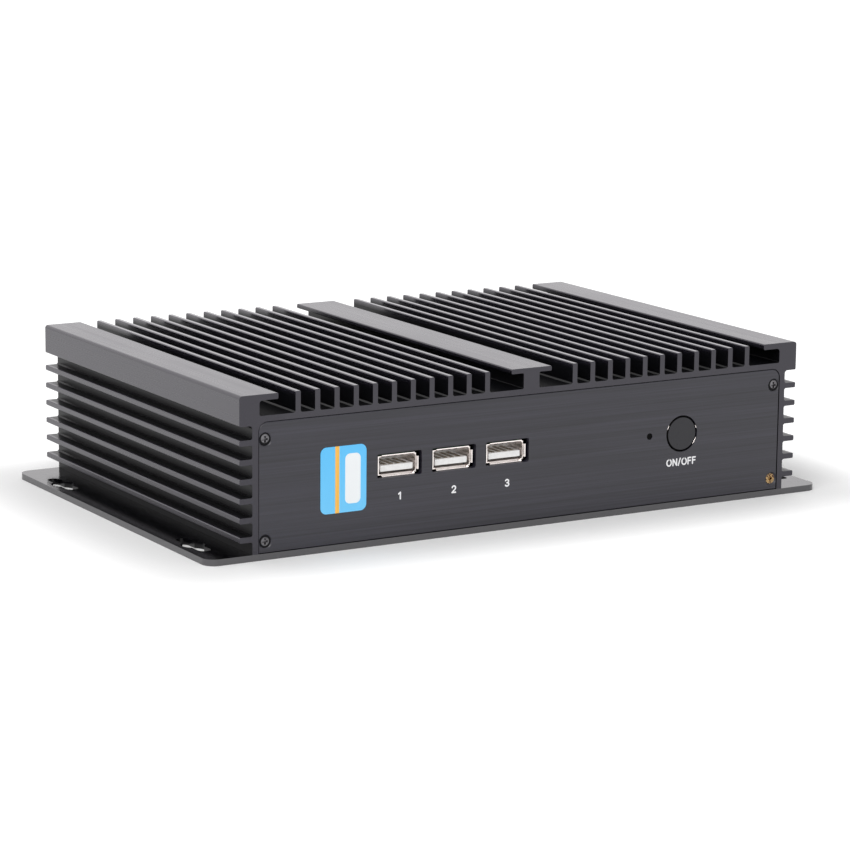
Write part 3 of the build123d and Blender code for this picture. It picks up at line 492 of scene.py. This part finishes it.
# %% [markdown]
# ## Circuit boards
#
# Solder mask is a glossy green film over copper tracks. The tracks show as slightly paler
# lines with a low relief, so a grid of thin bands from a brick pattern stands in for them.

# %% Finish of the boards
MASK = (0.006, 0.075, 0.028)
MASK_ON_COPPER = (0.012, 0.150, 0.060)
TRACK_HEIGHT = 0.03 * MM

board = Finish("green_solder_mask", IOR=1.5, Roughness=0.30)
tracks = board.node(
    "ShaderNodeTexBrick",
    {"offset": 0.5},
    {"Vector": board.place(), "Scale": 260.0, "Mortar Size": 0.06, "Mortar Smooth": 0.2},
    output="Fac",
)
board.wear(
    Base_Color=board.mix(tracks, MASK, MASK_ON_COPPER),
    Normal=board.bump(tracks, TRACK_HEIGHT),
)
paint(board, "mainboard", "memory_module", "storage_module")


# %% [markdown]
# ## The label
#
# A sky-blue sticker, a little paler towards its foot, sits beside the sockets. It is printed
# with plain shapes only: an amber stripe down its length and a blank white field. Each shape is
# a mask worked out from the distance to its edges, measured from the label's own box, so it
# stays in place on the label.

# %% Finish of the label
SKY = (0.105, 0.55, 0.98)
SKY_LOW = (0.17, 0.62, 1.0)
AMBER = (0.98, 0.52, 0.08)
PAPER = (0.90, 0.93, 0.95)
STRIPE_FROM_LEFT = 5.6 * MM
STRIPE_HALF = 0.7 * MM
WINDOW_FROM_LEFT = 10.9 * MM
WINDOW_HALF_WIDTH = 2.6 * MM
WINDOW_HALF_HEIGHT = 7.6 * MM
WINDOW_CORNER = 1.6 * MM
FIBRE_DEPTH = 0.004 * MM

label_low, label_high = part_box("front_label")
label_middle = (label_low + label_high) / 2
print("label in mm:", [round(side / MM, 2) for side in label_high - label_low])

label = Finish("printed_label", IOR=1.5, Coat_Roughness=0.15)
label_x, _, label_z = label.axes(label.place())


def field(middle_x, middle_z, half_x, half_z, corner):
    """1 inside a rectangle with round corners: the distance from the point to a smaller
    rectangle, shrunk by the corner's radius, is less than that radius."""
    over_x = label.math("MAXIMUM", abs(label_x - middle_x) - (half_x - corner), 0.0)
    over_z = label.math("MAXIMUM", abs(label_z - middle_z) - (half_z - corner), 0.0)
    return over_x * over_x + over_z * over_z < corner * corner


stripe = abs(label_x - (label_low.x + STRIPE_FROM_LEFT)) < STRIPE_HALF
window_x = label_low.x + WINDOW_FROM_LEFT
window = field(window_x, label_middle.z, WINDOW_HALF_WIDTH, WINDOW_HALF_HEIGHT, WINDOW_CORNER)
fibre = label.noise((1200.0, 1200.0, 1200.0))
height = label.ramp(label_z, label_low.z, label_high.z)
ground = label.mix(height * 0.8 + fibre * 0.2, SKY_LOW, SKY)
printed = label.mix(window, label.mix(stripe, ground, AMBER), PAPER)
label.wear(
    Base_Color=printed,
    Roughness=fibre * 0.10 + 0.30,
    Normal=label.bump(fibre, FIBRE_DEPTH),
)
paint(label, "front_label")


# %% [markdown]
# ## Springs inside the sockets
#
# Each socket grips its plug with two leaf springs in its roof. A leaf is a thin strip that bows
# into the mouth and out again. It could be cut from the shell, but a surface with one sine arch
# for the bow is smoother and says what it is. A Solidify modifier gives the strip its thickness.

# %% Leaf springs
SOCKETS = (1, 2, 3)
LEAF_WIDTH = 2.0 * MM
LEAF_BOW = 0.5 * MM
LEAF_LENGTH = 6.0 * MM
LEAF_START = 1.2 * MM
LEAF_BELOW_ROOF = 0.56 * MM
LEAF_THICKNESS = 0.15 * MM
LEAF_ROWS = 13
LEAF_COLUMNS = 3


def leaf(middle_x, mouth_y, roof_z):
    """A strip along Y with u from 0 to 1 and v from -0.5 to 0.5: x is the middle plus v times the
    width, y is the start plus u times the length, and z is the roof less the bow times sin(pi u)."""
    along, across = np.linspace(0, 1, LEAF_ROWS), np.linspace(-0.5, 0.5, LEAF_COLUMNS)
    u, v = np.meshgrid(along, across, indexing="ij")
    x = middle_x + v * LEAF_WIDTH
    y = mouth_y + LEAF_START + u * LEAF_LENGTH
    z = roof_z - LEAF_BOW * np.sin(np.pi * u)
    return lay_grid(np.stack([x, y, z], axis=-1))


leaves = []
for number in SOCKETS:
    low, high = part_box(f"front_usb_shell_{number}")
    middle = (low.x + high.x) / 2
    for side in (-1, 1):
        leaf_x = middle + side * (high.x - low.x) / 4
        leaves.append(leaf(leaf_x, low.y, high.z - LEAF_BELOW_ROOF))
springs = build_piece("usb_springs", leaves, nickel.material)
sheet = springs.modifiers.new("sheet", "SOLIDIFY")
sheet.thickness = LEAF_THICKNESS


# %% [markdown]
# ## Printed marks
#
# White ink marks the sockets with plain numbers and the button with ON and OFF. A text curve
# would do, but its figure one is a bare bar. So every sign is a few strokes of a round pen: a
# stroke is a path, and a flat ribbon carried along it with half a disc at each end.

# %% Ink and the pen
INK_THIN = (0.86, 0.86, 0.88)
INK_FULL = (0.95, 0.95, 0.96)
INK_RELIEF = 0.003 * MM

ink = Finish("white_ink", IOR=1.5)
speck = ink.noise((2500.0, 2500.0, 2500.0))
ink.wear(
    Base_Color=ink.mix(speck, INK_THIN, INK_FULL),
    Roughness=speck * 0.10 + 0.45,
    Normal=ink.bump(speck, INK_RELIEF),
)

CAP_HEIGHT = 2.45 * MM
PEN = 0.46 * MM
INK_DEPTH = 0.02 * MM
HEAD_ROWS = 5
LINE_POINTS = 9
ARC_POINTS = 33

panel_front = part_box("front_panel")[0].y
print("front of the panel at y =", round(panel_front, 4))


def ribbon(path, front_y):
    """A path of (x, z) points becomes a flat ribbon as wide as the pen. Each row of the grid
    crosses the path at right angles, and rows added beyond both ends narrow like a half circle:
    the half width is the pen's radius times cos(t), as far out as the radius times sin(t)."""
    path = np.asarray(path, float)
    along = np.gradient(path, axis=0)
    along /= np.linalg.norm(along, axis=1, keepdims=True)
    t = np.linspace(0.0, math.pi / 2, HEAD_ROWS + 1)[1:]
    radius = PEN / 2
    head = path[:1] - along[:1] * radius * np.sin(t[::-1, None])
    tail = path[-1:] + along[-1:] * radius * np.sin(t[:, None])
    middle = np.vstack([head, path, tail])
    first, last = np.repeat(along[:1], HEAD_ROWS, 0), np.repeat(along[-1:], HEAD_ROWS, 0)
    ahead = np.vstack([first, along, last])
    half = np.concatenate([np.cos(t[::-1]), np.ones(len(path)), np.cos(t)]) * radius
    across = np.stack([-ahead[:, 1], ahead[:, 0]], axis=1) * half[:, None]
    sides = np.stack([middle + across, middle - across], axis=1)
    front = np.full(sides.shape[:2] + (1,), front_y)
    return lay_grid(np.concatenate([sides[:, :, :1], front, sides[:, :, 1:]], axis=2))


def line(*corners):
    """Straight pieces through corners, as a path of close points: (1 - s) a + s b from each
    corner a to the next corner b."""
    corners = np.asarray(corners, float)
    steps = np.linspace(0, 1, LINE_POINTS)[:, None]
    return np.vstack([(1 - steps) * a + steps * b for a, b in zip(corners[:-1], corners[1:])])


def arc(middle, radii, start, end):
    """Part of an ellipse: the middle plus the radii times (cos, sin) of an angle in degrees."""
    angle = np.radians(np.linspace(start, end, ARC_POINTS))[:, None]
    return np.asarray(middle) + np.asarray(radii) * np.hstack([np.cos(angle), np.sin(angle)])


# %% [markdown]
# Each sign is drawn in a box whose height is one, from its lower left corner. It is kept as its
# width and its strokes, so that one table holds the whole small alphabet.

# %% The signs as widths and strokes
UPRIGHT = line((0.0, 0.0), (0.0, 1.0))
CURL = [arc((0.31, 0.70), (0.30, 0.30), 165, -35), line((0.50, 0.46), (0.0, 0.0))]
SIGNS = {
    "1": (0.40, [line((0.06, 0.78), (0.34, 1.0)), line((0.34, 1.0), (0.34, 0.0))]),
    "2": (0.62, [np.vstack(CURL), line((0.0, 0.0), (0.62, 0.0))]),
    "3": (0.60, [arc((0.28, 0.755), (0.28, 0.245), 155, -90),
                 arc((0.29, 0.255), (0.31, 0.255), 90, -155)]),
    "O": (0.84, [arc((0.42, 0.5), (0.42, 0.5), 90, 450)]),
    "N": (0.68, [UPRIGHT, line((0.0, 1.0), (0.68, 0.0)), line((0.68, 0.0), (0.68, 1.0))]),
    "F": (0.52, [UPRIGHT, line((0.0, 1.0), (0.52, 1.0)), line((0.0, 0.53), (0.46, 0.53))]),
    "/": (0.34, [line((0.0, -0.05), (0.34, 1.05))]),
}
SIGN_GAP = 0.34
STROKE_STEP = 0.05
print("signs:", " ".join(SIGNS))


def write(name, words, middle_x, middle_z):
    """Signs in a row on the front panel. Strokes are scaled so that the ink's outside is as tall
    as the caps, and each ribbon lies a hair in front of the one before, so that none coincide."""
    scale = CAP_HEIGHT - PEN
    widths = [SIGNS[sign][0] for sign in words]
    left = -(sum(widths) + SIGN_GAP * (len(words) - 1)) / 2
    strokes = []
    for sign, width in zip(words, widths):
        for path in SIGNS[sign][1]:
            placed = (path + (left, -0.5)) * scale + (middle_x, middle_z)
            lift = INK_DEPTH * (1 + STROKE_STEP * len(strokes))
            strokes.append(ribbon(placed, panel_front - lift))
        left += width + SIGN_GAP
    return build_piece(name, strokes, ink.material, smooth=False)


# %% Marks under the sockets and the button
SOCKET_MARK_DROP = 9.35 * MM
BUTTON_MARK_DROP = 9.0 * MM

for number in SOCKETS:
    low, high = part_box(f"front_usb_shell_{number}")
    mark_z = (low.z + high.z) / 2 - SOCKET_MARK_DROP
    write(f"socket_mark_{number}", str(number), (low.x + high.x) / 2, mark_z)

button_low, button_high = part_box("power_button")
button_x = (button_low.x + button_high.x) / 2
button_z = (button_low.z + button_high.z) / 2
write("button_mark", "ON/OFF", button_x, button_z - BUTTON_MARK_DROP)


# %% [markdown]
# ## The button's spring ring
#
# A thin ring of spring steel sits in the gap round the button. Only the three bent lugs that
# centre the cap catch the light. Each lug is a short piece of a torus: a small circle carried
# along an arc, with its two ends drawn in to a point so that the surface is closed.

# %% Lugs in the gap round the button
RING_RADIUS = 5.65 * MM
LUG_RADIUS = 0.16 * MM
LUG_DEPTH = 0.15 * MM
LUG_ROWS = 17
LUG_SIDES = 12
LUG_ARCS = ((148, 164), (12, 24), (-42, -16))


def lug(from_degrees, to_degrees):
    """A torus with u from 0 to 1 along its arc and v round its wire. The wire's radius w is the
    lug's radius times sqrt(sin(pi u)). A point lies at the ring's radius plus w cos(v) from the
    button's axis, at the angle of u, and at w sin(v) before or behind the lug's depth."""
    round_wire = np.linspace(0, 2 * np.pi, LUG_SIDES, endpoint=False)
    u, v = np.meshgrid(np.linspace(0, 1, LUG_ROWS), round_wire, indexing="ij")
    turn = np.radians(from_degrees + u * (to_degrees - from_degrees))
    wire = LUG_RADIUS * np.sqrt(np.sin(np.pi * u).clip(0, 1))
    ring = RING_RADIUS + wire * np.cos(v)
    x = button_x + ring * np.cos(turn)
    y = panel_front + LUG_DEPTH + wire * np.sin(v)
    z = button_z + ring * np.sin(turn)
    return lay_grid(np.stack([x, y, z], axis=-1), close_v=True)


build_piece("button_lugs", [lug(*ends) for ends in LUG_ARCS], nickel.material)


# %% [markdown]
# ## Floor
#
# A plain pale floor runs past the edges of the view. It should read as white paper and still
# hold the object's shadow. The paper is ordinary and diffuse, so it darkens under the object,
# and what looks at it, the camera and the reflections, sees a little glow on top. Near the base
# plate the glow fades out, which paints a soft shadow round the object over the real one. The
# light that bounces off it onto the object is left as it is.

# %% Floor and its paper
PAPER_WHITE = (0.90, 0.90, 0.90)
PAPER_GLOW = (0.32, 0.32, 0.32)
NO_GLOW = (0.0, 0.0, 0.0)
FLOOR_HALF = 6.0
SHADE_SOFT = 30.0 * MM

paper = Finish("floor_paper", Base_Color=PAPER_WHITE, Roughness=0.9)
paper_x, paper_y, _ = paper.axes(paper.place())


def beyond(value, edge):
    """How far a coordinate lies past an edge, 0 on the near side."""
    return paper.math("MAXIMUM", abs(value) - edge, 0.0)


past_x = beyond(paper_x, plate_high.x)
past_y = beyond(paper_y, plate_high.y)
# Painted shadow: the glow fades to nothing towards the base plate's footprint.
paper_outside_painted_shadow = paper.ramp(past_x * past_x + past_y * past_y, 0.0, SHADE_SOFT * SHADE_SOFT)
glow = paper.mix(paper.looks() * paper_outside_painted_shadow, NO_GLOW, PAPER_GLOW)
paper.wear(Emission_Color=glow, Emission_Strength=1.0)


# %% The sheet of paper
floor_mesh = bpy.data.meshes.new("floor")
signs_of_corners = np.array([(-1, -1, 0), (1, -1, 0), (1, 1, 0), (-1, 1, 0)])
floor_mesh.from_pydata((signs_of_corners * FLOOR_HALF).tolist(), [], [(0, 1, 2, 3)])
floor_mesh.materials.append(paper.material)
floor = bpy.data.objects.new("floor", floor_mesh)
bpy.context.scene.collection.objects.link(floor)
print("floor:", 2 * FLOOR_HALF, "m wide")


# %% [markdown]
# ## Light
#
# Black gloss shows its surroundings more than its lamps, so most of the look comes from the
# world: white to anything that reflects it, and softer as a light, because a white world alone
# would wash the grooves out. A square lamp above and to the left gives the rails their slope
# from bright to less bright, and a wide one behind lights the top from the back.

# %% World
WORLD_LIGHT = 0.80
WHITE = (1.0, 1.0, 1.0)

world = bpy.data.worlds.new("studio")
world.use_nodes = True
bpy.context.scene.world = world
studio = Graph(world.node_tree)
white = studio.node("ShaderNodeBackground", inputs={"Color": WHITE, "Strength": 1.0})
soft = studio.node("ShaderNodeBackground", inputs={"Color": WHITE, "Strength": WORLD_LIGHT})
sky = studio.node("ShaderNodeMixShader", inputs={0: studio.looks(), 1: soft, 2: white})
studio.feed(world.node_tree.nodes["World Output"], "Surface", sky)


# %% Lamps
LAMP_TARGET = (0.0, 0.0, 20.0 * MM)
BACK_TINT = (1.0, 0.93, 1.0)


def softbox(name, place, size, power, tint=WHITE):
    """A lamp of a width and a height in metres and a power in watts that faces the computer."""
    lamp = bpy.data.lights.new(name, "AREA")
    lamp.shape = "RECTANGLE"
    lamp.size, lamp.size_y = size
    lamp.energy = power
    lamp.color = tint
    holder = bpy.data.objects.new(name, lamp)
    aim = (Vector(LAMP_TARGET) - Vector(place)).to_track_quat("-Z", "Y")
    holder.matrix_world = Matrix.Translation(place) @ aim.to_matrix().to_4x4()
    bpy.context.scene.collection.objects.link(holder)
    print(f"{name}: {power} W, {size[0]} by {size[1]} m")


softbox("key_left", place=(-0.9, -0.6, 1.1), size=(0.9, 0.9), power=8.0)
softbox("back_wide", place=(0.2, 2.0, 0.7), size=(3.6, 1.0), power=4.0, tint=BACK_TINT)


# %% [markdown]
# ## Camera
#
# The camera repeats the view in which the computer was first seen: a long lens from the left,
# a little above. Its numbers came from matching measured corners. It is built from three turns,
# first the roll, then the tilt and then the turn round the upright, and looks without depth of
# field, so that every edge stays sharp.

# %% Camera at the first view
CAMERA_PLACE = (-521.85 * MM, -891.97 * MM, 229.08 * MM)
CAMERA_AZIMUTH = math.radians(30.475)
CAMERA_DROP = math.radians(11.465)
CAMERA_ROLL = math.radians(0.543)
LENS = 137.72
SENSOR = 36.0
CLIP_START = 0.01
CLIP_END = 50.0

lens = bpy.data.cameras.new("camera")
lens.lens = LENS
lens.sensor_width = SENSOR
lens.clip_start = CLIP_START
lens.clip_end = CLIP_END
camera = bpy.data.objects.new("camera", lens)
turn = Matrix.Rotation(-CAMERA_AZIMUTH, 4, "Z")
tilt = Matrix.Rotation(math.radians(90) - CAMERA_DROP, 4, "X")
roll = Matrix.Rotation(CAMERA_ROLL, 4, "Z")
camera.matrix_world = Matrix.Translation(CAMERA_PLACE) @ turn @ tilt @ roll
bpy.context.scene.collection.objects.link(camera)
bpy.context.scene.camera = camera
bpy.context.scene.view_settings.view_transform = "Standard"
print("camera at", [round(value, 4) for value in CAMERA_PLACE], "with a lens of", LENS, "mm")
